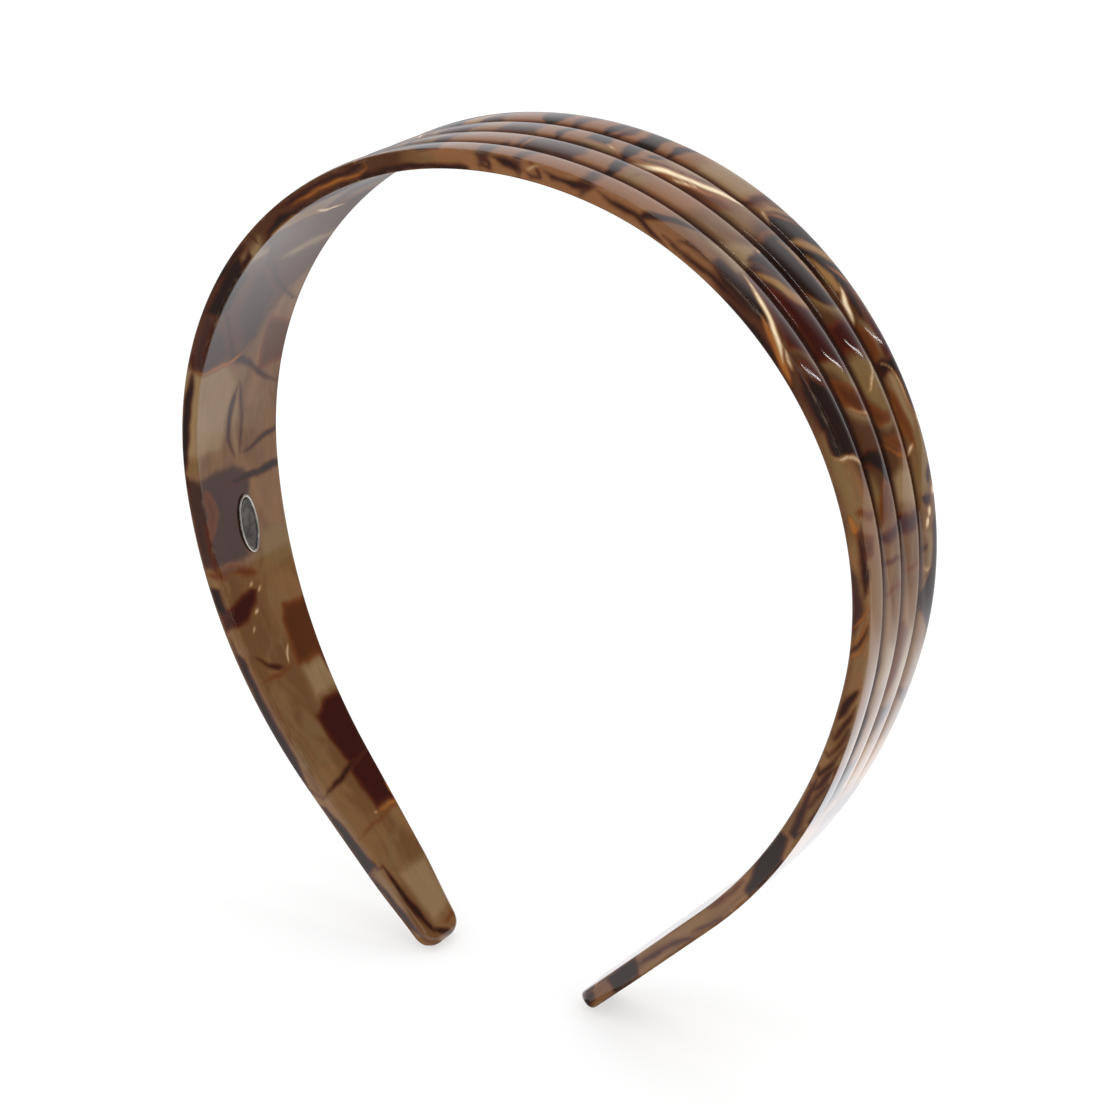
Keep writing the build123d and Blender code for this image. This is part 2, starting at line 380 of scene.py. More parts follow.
def paint_shoulder():
    """Outer face from the crown's end to the widest part of the arch."""
    line, flake = brushes("outer")
    flake("haze", (37, -0.4), (58, -0.4), (74, 0.4), (84, 1.4), (80, 2.4), (66, 3.2), (63, 4.4), (30, 4.4),
        (33, 2.8))
    line("umber", 1.8, (22, -0.15), (27, 0.42), (33, 1.02))
    flake("straw", (33, 0.6), (39.5, 0.4), (40, 1.0), (38.4, 1.6), (37.2, 1.82), (35.4, 1.5), (33.6, 1.0))
    line("pearl", 0.5, (36.8, 1.72), (37.5, 1.82), (38.2, 1.7))
    flake("umber", (35.2, 0.0), (52, -0.1), (48, 0.2), (42, 0.42), (36.4, 0.4))
    flake("wine", (41, 0.7), (48, 0.4), (53, 0.1), (57.4, 0.95), (41, 1.02))
    line("pearl", 1.3, (39.6, 0.62), (44, 0.42), (48, 0.2), (54.5, -0.12))
    line("olive", 1.6, (52, 0.1), (55, 0.6), (57.6, 1.0))
    flake("umber", (58, 0.1), (62, -0.1), (70.6, -0.1), (73, 1.02), (63.5, 1.02), (60.5, 0.7))
    line("wine", 2.2, (55.5, 0.1), (59, 0.6), (61.5, 1.0))
    line("pearl", 0.6, (70.6, -0.1), (72.2, 0.5), (74.2, 1.0))
    line("cognac", 1.6, (80, -0.05), (81, 0.5), (81.6, 0.9))
    flake("cognac", (82.5, -0.1), (88, -0.1), (87, 0.4), (84, 0.5))

    flake("umber", (38.6, 1.2), (41.5, 1.5), (46.8, 2.04), (36.6, 2.04), (37.4, 1.9))
    flake("ash", (39.6, 0.98), (47, 0.98), (49.6, 1.6), (49, 2.02), (38, 2.02), (39, 1.4))
    line("honey", 2.2, (40.6, 1.1), (44, 1.42), (50.4, 1.92))
    flake("wine", (43.5, 1.04), (56.8, 1.02), (59, 1.5), (60.4, 2.04), (51.5, 2.0), (47, 1.5))
    flake("cognac", (60.6, 1.02), (65, 1.02), (67.4, 1.6), (69, 2.0), (64.2, 2.02), (62, 1.5))
    line("olive", 2.4, (56.8, 1.0), (60, 1.5), (65.4, 2.02))
    line("straw", 1.7, (64.6, 1.04), (66.6, 1.4), (69.0, 1.96))
    line("pearl", 0.35, (65.4, 1.2), (66.8, 1.6), (68.4, 1.9))
    line("umber", 3.2, (72.6, 0.9), (73.4, 1.25), (75.4, 1.66), (79.2, 2.0))
    line("cognac", 2.6, (77.5, 1.9), (80, 1.45), (84.5, 1.15))
    line("wine", 2.4, (86.2, 0.95), (85.8, 1.5), (85.4, 2.04))
    line("olive", 1.8, (76, 1.1), (80, 1.12), (83, 1.05))
    line("wine", 0.9, (89.8, 0.98), (90.0, 1.5), (91.5, 2.0))
    line("cognac", 1.3, (95, 1.0), (94.6, 1.5), (95.6, 2.0))

    line("cognac", 0.6, (36.0, 2.0), (36.2, 2.5), (36.0, 3.0))
    flake("umber", (36.8, 2.02), (47, 2.02), (50, 2.4), (53.2, 3.0), (36.6, 3.04))
    line("honey", 1.7, (37.6, 2.66), (45, 2.88), (54, 3.02))
    line("amber", 0.4, (38.2, 2.6), (45, 2.78), (51.5, 2.94))
    line("olive", 2.8, (47.5, 2.1), (50, 2.45), (53.6, 3.0))
    flake("wine", (52.4, 2.02), (57.8, 2.02), (59, 2.4), (58.6, 3.04), (54.6, 3.0), (53, 2.5))
    flake("olive", (59, 2.0), (65.6, 2.0), (70, 2.7), (68, 3.0), (60, 3.0))
    line("pearl", 0.5, (60.2, 3.0), (63, 2.6), (65.2, 2.2))
    line("straw", 1.0, (62.6, 3.02), (64, 2.7), (66, 2.3))
    flake("cognac", (66.6, 2.02), (70.2, 2.02), (70.4, 2.5), (69, 2.6), (67.4, 2.3))
    line("straw", 0.8, (69.2, 2.05), (70.8, 2.45), (70.6, 2.9))
    line("cognac", 2.0, (71.8, 2.1), (74, 2.5), (76.4, 2.95))
    line("amber", 0.7, (72.5, 2.02), (75.6, 2.4), (77.2, 2.9))
    flake("straw", (78, 2.0), (83, 2.0), (84, 3.0), (78, 3.0))
    flake("wine", (84.4, 2.0), (87.6, 2.0), (87.8, 3.0), (84.8, 3.0))
    line("cognac", 1.1, (93.2, 2.0), (93.4, 2.5), (93.6, 3.0))

    flake("umber", (33.0, 3.0), (48, 3.0), (49.4, 3.5), (51, 4.15), (35, 4.15), (33.6, 3.5))
    line("wine", 1.6, (29.4, 3.0), (30.0, 3.45), (32, 4.1))
    line("honey", 1.3, (31.2, 3.1), (32.6, 3.5), (36.6, 4.1))
    line("amber", 0.6, (32.4, 3.1), (34.6, 3.5), (38.6, 4.05))
    line("honey", 1.9, (38.6, 3.05), (41, 3.5), (46.4, 4.1))
    line("amber", 0.7, (44.4, 3.5), (46.6, 3.72), (50, 3.96))
    line("pearl", 0.4, (31.8, 3.2), (33.2, 3.1), (34.4, 3.02))
    flake("honey", (42.4, 3.16), (49, 3.12), (49.8, 3.36), (46.5, 3.44))
    flake("umber", (48.2, 3.62), (51.5, 3.36), (54.6, 3.36), (56, 3.56), (52, 3.76), (48.8, 3.8))
    line("pearl", 1.2, (48.2, 3.44), (49.6, 3.36), (51.5, 3.2), (55, 3.06))
    flake("cognac", (55, 3.0), (62, 3.0), (61.5, 3.4), (57, 3.44), (54.8, 3.2))
    line("straw", 0.9, (54.6, 3.3), (57.4, 3.5), (61.4, 3.38))
    flake("wine", (50, 3.8), (56, 3.6), (62, 3.5), (62, 4.15), (51, 4.15))
    line("amber", 0.9, (50.5, 3.84), (53, 3.96), (57.5, 3.92))
    flake("umber", (61.8, 3.0), (64.8, 3.0), (64.2, 3.7), (71.4, 3.8), (71.4, 4.15), (61.6, 4.15))
    flake("straw", (62.8, 3.2), (66, 3.2), (71, 3.36), (76, 3.5), (72.4, 3.72), (64.6, 3.66))
    line("pearl", 0.5, (62.6, 3.2), (63.6, 3.56), (65.4, 3.68), (70.6, 3.68))
    line("cognac", 2.0, (65.5, 3.08), (70, 3.22), (76.5, 3.36))
    line("amber", 0.8, (66.8, 3.0), (70, 3.06), (74.5, 3.1))
    line("pearl", 0.6, (76.9, 3.0), (76.0, 3.14), (75.2, 3.3))
    flake("olive", (76, 3.4), (83, 3.1), (84, 3.5), (80, 4.1), (73.5, 4.1), (72.6, 3.74))
    line("pearl", 0.7, (72.2, 3.8), (73, 3.95), (74.6, 4.05))
    line("umber", 1.7, (79.6, 3.98), (81.2, 3.72), (82.6, 3.6))
    line("umber", 1.9, (84.2, 3.24), (84.8, 3.46), (84.4, 3.7))
    for s, q in ((83.4, 3.86), (85.6, 3.96), (86.4, 3.5), (88.2, 3.36)):
        line("pearl", 0.9, (s - 0.8, q + 0.06), (s + 0.8, q - 0.05))
    line("straw", 0.7, (89, 3.05), (90.2, 3.4), (93, 3.5), (95.4, 3.3), (95, 3.05))
    line("umber", 1.1, (91.2, 3.3), (92.2, 3.12), (92.4, 3.0))
    line("pearl", 0.4, (95.0, 3.14), (95.8, 3.3), (95.4, 3.44))
    flake("umber", (86.2, 4.1), (88.4, 3.6), (95, 3.56), (99.6, 3.0), (102.5, 3.1), (108, 3.9), (108, 4.15))


def paint_arm():
    """Outer face of the leg, where the lobes fade."""
    line, flake = brushes("outer")
    flake("straw", (103, 1.1), (113.5, 1.1), (110, 1.9), (105, 1.8))
    line("umber", 1.6, (100, 0.95), (110, 0.98), (120, 1.02), (131, 1.05))
    flake("cognac", (101, 2.0), (116, 2.0), (112, 2.4), (104, 2.4))
    flake("straw", (103, 2.4), (115, 2.4), (117, 3.0), (104, 3.0))
    flake("ash", (117, 2.0), (123, 2.0), (121, 2.6), (118, 3.0))
    line("straw", 1.4, (108, 3.1), (110.5, 3.3), (113, 3.9))
    line("wine", 2.0, (116, 3.0), (118, 3.5), (121, 4.0))
    line("cognac", 1.8, (124, 0.1), (124.8, 0.4), (125, 0.8))
    scatter("outer", 124, 200, PLAIN_BANDS, 21)


def paint_inner_left():
    """Inner face of the left leg: broad flakes with fine dark outlines."""
    line, flake = brushes("inner")
    flake("haze", (-88, -1.4), (-20, -1.4), (-28, 1.4), (-66, 1.4), (-76, 0.6), (-88, 0.0))
    line("umber", 1.7, (-203.6, -0.15), (-202.4, -0.55), (-199, -0.68), (-194, -0.8), (-186.5, -0.84))
    line("umber", 1.5, (-204.4, 0.4), (-203.6, -0.1), (-202, -0.6))
    line("cognac", 1.0, (-202.2, 0.1), (-201.8, 0.6), (-202, 1.1))
    line("wine", 0.6, (-187.8, -1.2), (-187.4, -0.8))
    line("cognac", 0.6, (-181, -1.0), (-180.2, 0.0), (-179.4, 1.1))
    flake("straw", (-201, -0.3), (-190, -0.5), (-190, 0.9), (-200, 0.9))
    line("umber", 1.2, (-171.6, -1.3), (-170.8, -0.7), (-169.2, 0.2), (-168.4, 0.9))
    line("amber", 0.8, (-178.9, 0.05), (-179.0, 0.6), (-178.8, 1.2))
    flake("wine", (-178.4, 0.2), (-170.6, 0.04), (-168.6, 0.16), (-163, 0.02), (-157.8, 0.0), (-157.2, 0.2),
        (-155.8, 0.5), (-155.8, 1.25), (-178.6, 1.25))
    line("pearl", 0.35, (-178.8, 0.16), (-178.4, 0.04))
    flake("straw", (-155.4, 0.24), (-149, 0.24), (-148.9, 1.25), (-155.2, 1.25))
    flake("cognac", (-148.6, 0.14), (-139.4, 0.2), (-136.6, 0.34), (-137.6, 1.25), (-148.8, 1.25))
    line("olive", 1.0, (-165.6, -0.7), (-164.4, -0.4), (-163.6, -0.1))
    line("cognac", 0.7, (-147.8, -1.1), (-148.0, -0.4), (-147.6, 0.1))
    line("umber", 1.2, (-142.6, -0.9), (-145.6, -0.6), (-147.4, -0.2))
    line("pearl", 0.5, (-147.2, -0.05), (-145.6, 0.0), (-143.8, 0.12))
    flake("wine", (-137.2, -1.3), (-133.0, -1.3), (-131.2, -0.35), (-131.8, -0.18), (-134.2, -0.3),
        (-136.6, -0.66))
    for s, v in ((-135.8, -0.38), (-130.6, -0.3), (-132.0, -0.12), (-138.4, -0.6)):
        line("pearl", 0.55, (s - 0.4, v - 0.05), (s + 0.4, v + 0.06))
    line("cognac", 2.4, (-126.2, -1.3), (-126.6, -0.6), (-129.4, -0.02))
    flake("olive", (-130, 0.1), (-122.6, 0.3), (-122.8, 1.2), (-130, 1.2))
    flake("ash", (-125, -1.3), (-108.2, -1.3), (-107.6, -0.2), (-110, 0.1), (-112.8, 0.2), (-116.6, 0.1),
        (-119, -0.2), (-126, -0.1))
    line("umber", 1.8, (-111, -0.5), (-111.6, 0.2), (-111.8, 1.3))
    line("cognac", 2.6, (-120, -1.0), (-115.5, -0.8), (-110, -0.9))
    flake("straw", (-104.0, -1.3), (-87.4, -1.3), (-87.6, -0.4), (-92, -0.1), (-104.4, -0.4))
    line("umber", 1.2, (-107.4, -0.1), (-103, -0.24), (-97, -0.18), (-92, -0.04))
    line("umber", 0.9, (-106.8, 0.04), (-100, 0.1), (-94, 0.02), (-91.4, -0.06))
    line("umber", 1.1, (-107.0, 0.1), (-106.0, 0.5), (-104.6, 1.1))
    line("straw", 1.2, (-106.8, -0.04), (-101, -0.1), (-96, -0.06))
    line("umber", 1.3, (-97.2, 1.1), (-93.6, 0.6), (-89, 0.1), (-86, -0.3), (-79, -0.6), (-72, -1.0))
    line("umber", 1.4, (-80.6, 1.1), (-75, 0.5), (-71, 0.1), (-65.8, -0.2), (-65, -0.36), (-58, -0.66),
        (-54, -1.1))
    flake("ash", (-87, -1.2), (-74, -1.2), (-80, -0.66), (-85, -0.4), (-87, -0.7))
    flake("ash", (-85.6, -0.1), (-77, -0.5), (-65, -0.5), (-68, -0.2), (-74, 0.24), (-84, 0.2))
    flake("cognac", (-92, 0.36), (-80, 0.34), (-84, 1.1), (-92, 1.1))
    flake("umber", (-76, -1.2), (-61, -1.2), (-66, -0.72), (-74, -0.76))
    line("amber", 0.8, (-87.2, -1.1), (-87.4, -0.4), (-86, 0.0))
    flake("straw", (-61.8, -1.1), (-56, -1.1), (-60, -0.6), (-61.4, -0.7))
    line("straw", 2.4, (-64.6, -0.1), (-63.4, 0.5), (-63, 1.1))
    scatter("inner", -54, 0, INNER_BANDS, 5)


def paint_front_edge():
    """Front edge, where the layers are cut through and flow along the strip."""
    line, flake = brushes("front_edge")
    flake("tan", (-9, -1.3), (40, -1.3), (36, 1.3), (-9, 1.3))
    flake("haze", (44, -1.3), (68, -1.3), (66, 1.3), (44, 1.3))
    line("umber", 1.4, (-203, -0.3), (-195, 0.2), (-187, 0.9))
    flake("umber", (-187.6, -1.0), (-180, -0.5), (-173, 0.3), (-172.4, 1.1), (-187.6, 1.1))
    line("umber", 0.7, (-171.6, -1.2), (-171.2, 0.0), (-169.8, 0.6), (-168, 1.0))
    line("umber", 2.4, (-170, 0.9), (-160, 0.5), (-148, 0.3), (-138, 0.5))
    line("umber", 1.7, (-147, 0.4), (-143, 0.1), (-140, 0.6))
    flake("wine", (-137, -1.1), (-134, -1.1), (-133.8, -0.3), (-136, -0.5))
    flake("umber", (-134.4, -0.6), (-129, -0.3), (-128.6, 1.1), (-133.8, 1.1))
    flake("wine", (-126.5, -1.1), (-116, -1.1), (-117, -0.6), (-126, -0.5))
    line("umber", 1.2, (-111, 0.5), (-109, 0.6), (-107.6, 0.8))
    line("umber", 2.2, (-108, 1.0), (-99, 0.5), (-92, 0.2), (-87, 0.2))
    line("umber", 1.2, (-88, 0.1), (-86, 0.4), (-84, 0.6))
    flake("umber", (-86, -1.2), (-60, -1.2), (-59, 0.2), (-62, -0.3), (-70, -0.5), (-84, -0.7))
    flake("umber", (-82, 0.9), (-70, 0.4), (-60, 0.1), (-58.6, 0.5), (-59.4, 1.2), (-82, 1.2))
    line("umber", 0.7, (-56.8, -0.4), (-57, 0.3), (-57.4, 1.0))
    flake("umber", (-55, -1.2), (-8.2, -1.2), (-8.6, -0.5), (-16, -0.1), (-29, -0.1), (-31, -0.6),
        (-44, -0.4), (-50, 0.2), (-54, -0.4))
    line("umber", 1.3, (-53, 1.0), (-47, 0.5), (-40, 0.3), (-33, 0.25), (-30.4, 0.6), (-34, 0.9))
    line("amber", 0.7, (-47, 0.1), (-38, -0.2), (-30.6, -0.3), (-28.8, 0.1), (-29.4, 0.8))
    line("umber", 0.7, (-7.8, -0.3), (-5, -0.5), (-5.4, 0.1), (-7.4, 0.7))
    flake("umber", (-4.4, 0.9), (-2.4, 0.1), (0, -0.25), (1.4, 0.1), (0.4, 0.7), (-1.5, 0.95))
    line("umber", 0.7, (1.6, 0.2), (3, -0.4), (4.8, -0.3), (4, 0.4), (2.6, 0.9))
    line("pearl", 0.35, (2.2, 0.1), (4.2, 0.7))
    flake("umber", (5.2, 0.5), (7, -0.2), (10.5, -0.2), (13, 0.3), (14.6, 1.1), (11, 0.9), (8, 0.4))
    line("umber", 1.1, (14, 0.8), (17.5, 0.1), (22, 0.2), (26, -0.4), (29, -0.7))
    line("umber", 1.2, (27.6, 0.1), (33, -0.3), (40, 0.1), (48, 0.3))
    flake("umber", (30, 0.6), (36, 0.9), (40, 0.3), (48, 0.2), (50, 0.8), (48, 1.2), (31, 1.2))
    flake("umber", (40, -1.2), (56, -1.2), (54, -0.3), (49, 0.1), (42, -0.4))
    line("amber", 1.4, (46.5, 1.1), (50, 0.5), (53, 0.1), (58, -0.5))
    line("pearl", 0.5, (52.5, 1.1), (54.5, 0.7), (56, 0.5))
    flake("umber", (54, -0.4), (62, -1.2), (66, -1.2), (60, -0.5), (55, 0.1))
    flake("umber", (57, 0.8), (60.5, -0.1), (66.6, -0.2), (67.6, 0.6), (66.6, 1.2), (57, 1.2))
    flake("olive", (68, -0.4), (82, -0.4), (84, 0.4), (80, 1.1), (68, 1.1))
    line("amber", 1.2, (80, -0.2), (83, 0.3), (82, 0.9))
    flake("umber", (81.6, 1.2), (85, 0.3), (91, 0.1), (93.4, 0.4), (92.6, 0.8), (88, 1.2))
    line("ash", 0.8, (68, -1.0), (78, -0.9), (88, -0.9))
    flake("ash", (86, -1.2), (101, -1.2), (99, -0.3), (96, 0.4), (93.6, 0.2), (90, -0.2))
    for start in (94, 97, 100):
        line("amber", 0.45, (start, 0.9), (start + 3, 0.3), (start + 5, -0.8))
    line("umber", 0.9, (98, 0.9), (101.5, 0.2), (104, -0.9))
    line("umber", 1.7, (109, 0.8), (112, 0.0), (116, -0.5))
    for start in (112, 116, 120, 124, 128):
        line("umber", 0.9, (start, 1.0), (start + 5, 0.3), (start + 7.6, -0.3), (start + 6, -0.9))
    line("umber", 1.5, (128, -0.3), (135, -0.2), (140, 0.2), (140.4, 0.8), (137, 1.1))
    flake("umber", (141, -1.2), (150, -1.2), (156, 0.2), (157, 1.2), (147, 1.2), (142, 0.2))
    line("wine", 1.6, (143, -0.9), (146, 0.2), (150, 0.9))
    line("wine", 0.9, (155, -0.6), (160, -0.5), (166, -0.8))
    line("umber", 0.9, (164, 0.8), (168, 0.6), (172, 0.3))
    line("umber", 1.0, (172, 0.9), (177, 0.1), (183, -0.1), (188, 0.0))
    flake("umber", (186, -1.2), (196, -1.2), (195, 0.3), (197, 1.2), (188, 1.2), (187, 0.0))
    line("umber", 2.2, (199, -0.4), (202, 0.0), (204, 0.8))


paint_crown()
paint_shoulder()
paint_arm()
paint_inner_left()
paint_front_edge()
scatter("outer", -HALF_LENGTH, -132, PLAIN_BANDS, 8)
scatter("outer", -130, -16, LOBE_BANDS, 9)
scatter("inner", 0, HALF_LENGTH, INNER_BANDS, 13)
flow("back_edge", -HALF_LENGTH, HALF_LENGTH, 3)


# ------------------------------------------------------------------ the strip's meshes

def rings(distances):
    """Points of the slices at these distances, and their flat coordinates on the strip."""
    origin, outward = middle_line(np.array(distances))
    flat = np.array([section(distance) for distance in distances])
    points = origin[:, None, :] + outward[:, None, :] * flat[:, :, 1:2]
    points[:, :, 1] = flat[:, :, 0]
    return points, flat


def seam_normals(distance):
    """The whole strip's normals on one slice, so that the two meshes there shade as one."""
    nudge = 0.05
    points, _ = rings([distance - nudge, distance, distance + nudge])
    along = points[2] - points[0]
    around = np.roll(points[1], -1, axis=0) - np.roll(points[1], 1, axis=0)
    normal = np.cross(along, around)
    return normal / np.linalg.norm(normal, axis=1, keepdims=True)


def ring_distances(start, end):
    """Even rings from start out to end, closing up round the nose where end is the tip."""
    stop = end
    nose = []
    if end == HALF_LENGTH:
        stop = end - TIP_CORNER
        turn = np.linspace(0, math.pi / 2, TIP_RINGS + 1)[1:]
        nose = list(stop + TIP_CORNER * np.sin(turn))
    count = round((stop - start) / RING_STEP)
    return list(np.linspace(start, stop, count + 1)) + nose


def groove_depth(distance, across, zone):
    """How far down into a groove each point of the outer face is, from 0 on a crest to 1. The material
    paints shade into the grooves by it.
    """
    lobe = LOBE_SHARE * half_width(distance)
    number = np.clip(np.floor(across / lobe) + LOBES / 2, 0, LOBES - 1)
    share = 2 * (across / lobe - number + (LOBES - 1) / 2)
    towards_edge = (number == 0) & (share < 0) | (number == LOBES - 1) & (share > 0)
    fade = smooth(np.abs(distance), FADE_END, FADE_START)
    return np.where((zone == 2) & ~towards_edge, share**2 * fade, 0.0)


def arris_closeness(distance, across, depth, zone):
    """1 along the four long corners of the strip, where hands and hair rub it, and 0 elsewhere."""
    climb = np.clip(depth + THICKNESS / 2, 0, EDGE_HEIGHT)
    off_middle = np.abs(2 * climb / EDGE_HEIGHT - 1)
    inside = half_width(distance) - np.abs(across)
    return np.where(zone % 2 == 1, smooth(off_middle, 0.6, 0.95), smooth(inside, 0.9, 0.3))


def add_values(mesh, name, values):
    layer = mesh.attributes.new(name, "FLOAT", "POINT")
    layer.data.foreach_set("value", values.astype(np.float32))


def strip_mesh(name, hand, start, end):
    distances = [hand * distance for distance in ring_distances(start, end)]
    if hand < 0:
        distances.reverse()
    points, flat = rings(distances)
    ring_count, around = points.shape[:2]
    here = np.arange(ring_count * around).reshape(ring_count, around)
    after = np.roll(here, -1, axis=1)
    sides = np.stack([here[:-1], here[1:], after[1:], after[:-1]], axis=-1).reshape(-1, 4)
    faces = sides.tolist() + [here[0].tolist(), here[-1][::-1].tolist()]
    mesh = bpy.data.meshes.new(name)
    mesh.from_pydata((points.reshape(-1, 3) * MM).tolist(), [], faces)

    smooth_faces = np.ones(len(faces), bool)
    open_ends = [end_ring for end_ring, place in ((0, distances[0]), (-1, distances[-1]))
                 if abs(place) < HALF_LENGTH]
    smooth_faces[-2:] = [0 not in open_ends, -1 not in open_ends]
    mesh.polygons.foreach_set("use_smooth", smooth_faces)

    distance_of = np.repeat(np.array(distances), around)
    across_of, depth_of = flat[:, :, 0].ravel(), flat[:, :, 1].ravel()
    zone_of = np.tile(ZONE_OF_POINT, ring_count)
    coordinates = np.stack([distance_of, across_of, depth_of], axis=-1)
    place = mesh.attributes.new("strip", "FLOAT_VECTOR", "POINT")
    place.data.foreach_set("vector", coordinates.astype(np.float32).ravel())
    for pigment in PIGMENTS:
        reach = pigment_distance(pigment, distance_of, across_of, depth_of, zone_of)
        add_values(mesh, pigment, reach)
    # Depth in the grooves, which the material turns into painted shade.
    add_values(mesh, "groove_shade", groove_depth(distance_of, across_of, zone_of))
    add_values(mesh, "arris", arris_closeness(distance_of, across_of, depth_of, zone_of))
    mesh.update()

    loop_vertices = np.zeros(len(mesh.loops), int)
    mesh.loops.foreach_get("vertex_index", loop_vertices)
    normals = np.zeros((len(mesh.loops), 3))
    side_loops = np.arange(len(sides) * 4)
    for end_ring in open_ends:
        ring = here[end_ring]
        exact = dict(zip(ring.tolist(), seam_normals(distances[end_ring])))
        for loop in side_loops[np.isin(loop_vertices[side_loops], ring)]:
            normals[loop] = exact[loop_vertices[loop]]
    mesh.normals_split_custom_set(normals.tolist())

    piece = bpy.data.objects.new(name, mesh)
    bpy.context.scene.collection.objects.link(piece)
    return piece


# ------------------------------------------------------------------ node helpers

class Tree:
    """Short forms for building a node tree."""

    def __init__(self, tree):
        self.tree = tree
        tree.nodes.clear()

    def add(self, kind, inputs=None, **settings):
        made = self.tree.nodes.new(kind)
        for name, value in settings.items():
            setattr(made, name, value)
        for name, value in (inputs or {}).items():
            self.feed(made.inputs[name], value)
        return made

    def feed(self, socket, value):
        if isinstance(value, bpy.types.NodeSocket):
            self.tree.links.new(value, socket)
        else:
            socket.default_value = value

    def math(self, operation, *values):
        made = self.add("ShaderNodeMath", operation=operation)
        for socket, value in zip(made.inputs, values):
            self.feed(socket, value)
        return made.outputs[0]

    def step(self, value, low, high, to_low=0.0, to_high=1.0):
        made = self.add("ShaderNodeMapRange", interpolation_type="SMOOTHSTEP")
        for socket, part in zip(made.inputs, (value, low, high, to_low, to_high)):
            self.feed(socket, part)
        return made.outputs[0]

    def blend(self, factor, below, above, mode="MIX"):
        made = self.add("ShaderNodeMix", data_type="RGBA", blend_type=mode)
        for index, value in ((0, factor), (6, below), (7, above)):
            self.feed(made.inputs[index], value)
        return made.outputs[2]

    def grey(self, value):
        return self.add("ShaderNodeCombineColor", {0: value, 1: value, 2: value}).outputs[0]

    def mix(self, factor, below, above):
        made = self.add("ShaderNodeMix", data_type="FLOAT")
        for socket, value in zip(made.inputs[:1] + made.inputs[2:4], (factor, below, above)):
            self.feed(socket, value)
        return made.outputs[0]

    def noise(self, vector, scale, detail=2.0, roughness=0.5, distortion=0.0):
        made = self.add("ShaderNodeTexNoise", {"Vector": vector, "Scale": scale, "Detail": detail,
                                               "Roughness": roughness, "Distortion": distortion})
        return made.outputs["Fac"]

    def attribute(self, name, output="Fac"):
        return self.add("ShaderNodeAttribute", attribute_name=name).outputs[output]

    def stretched(self, vector, turn, scale):
        """Coordinates turned in the plane of the strip, then scaled along each axis."""
        made = self.add("ShaderNodeMapping", {"Vector": vector, "Rotation": (0, 0, math.radians(turn)),
                                              "Scale": scale})
        return made.outputs["Vector"]


def srgb(text):
    """Linear colour from a hex string."""
    parts = [int(text[k:k + 2], 16) / 255 for k in (0, 2, 4)]
    return tuple(p / 12.92 if p <= 0.04045 else ((p + 0.055) / 1.055) ** 2.4 for p in parts) + (1.0,)


# ------------------------------------------------------------------ materials

# For each pigment: its tone at the rim and deep inside, how soft its outline is in millimetres,
# how far the outline wanders, how much of what lies below it hides, and how wide its rim is.
LAYERS = {
    "haze": ("62391c", "442411", 2.4, 0.8, 0.9, 2.0),
    "tan": ("724729", "845634", 2.4, 0.8, 0.85, 1.5),
    "straw": ("7e6142", "8c7250", 1.4, 0.5, 0.85, 1.0),
    "olive": ("6e5232", "785e38", 1.3, 0.5, 0.8, 1.0),
    "ash": ("4c2c1e", "38201a", 0.8, 0.6, 0.95, 1.4),
    "cognac": ("6c3814", "4e2408", 0.6, 0.5, 0.95, 1.8),
    "wine": ("56220c", "360d05", 0.6, 0.5, 1.0, 1.4),
    "umber": ("4a200c", "20100a", 0.5, 0.5, 1.0, 1.0),
    "honey": ("744c26", "946e42", 0.6, 0.3, 0.9, 0.9),
    "amber": ("6e3810", "985a22", 0.45, 0.2, 0.9, 0.4),
    "pearl": ("9c6c3e", "f6e2bc", 0.5, 0.1, 1.0, 0.7),
}


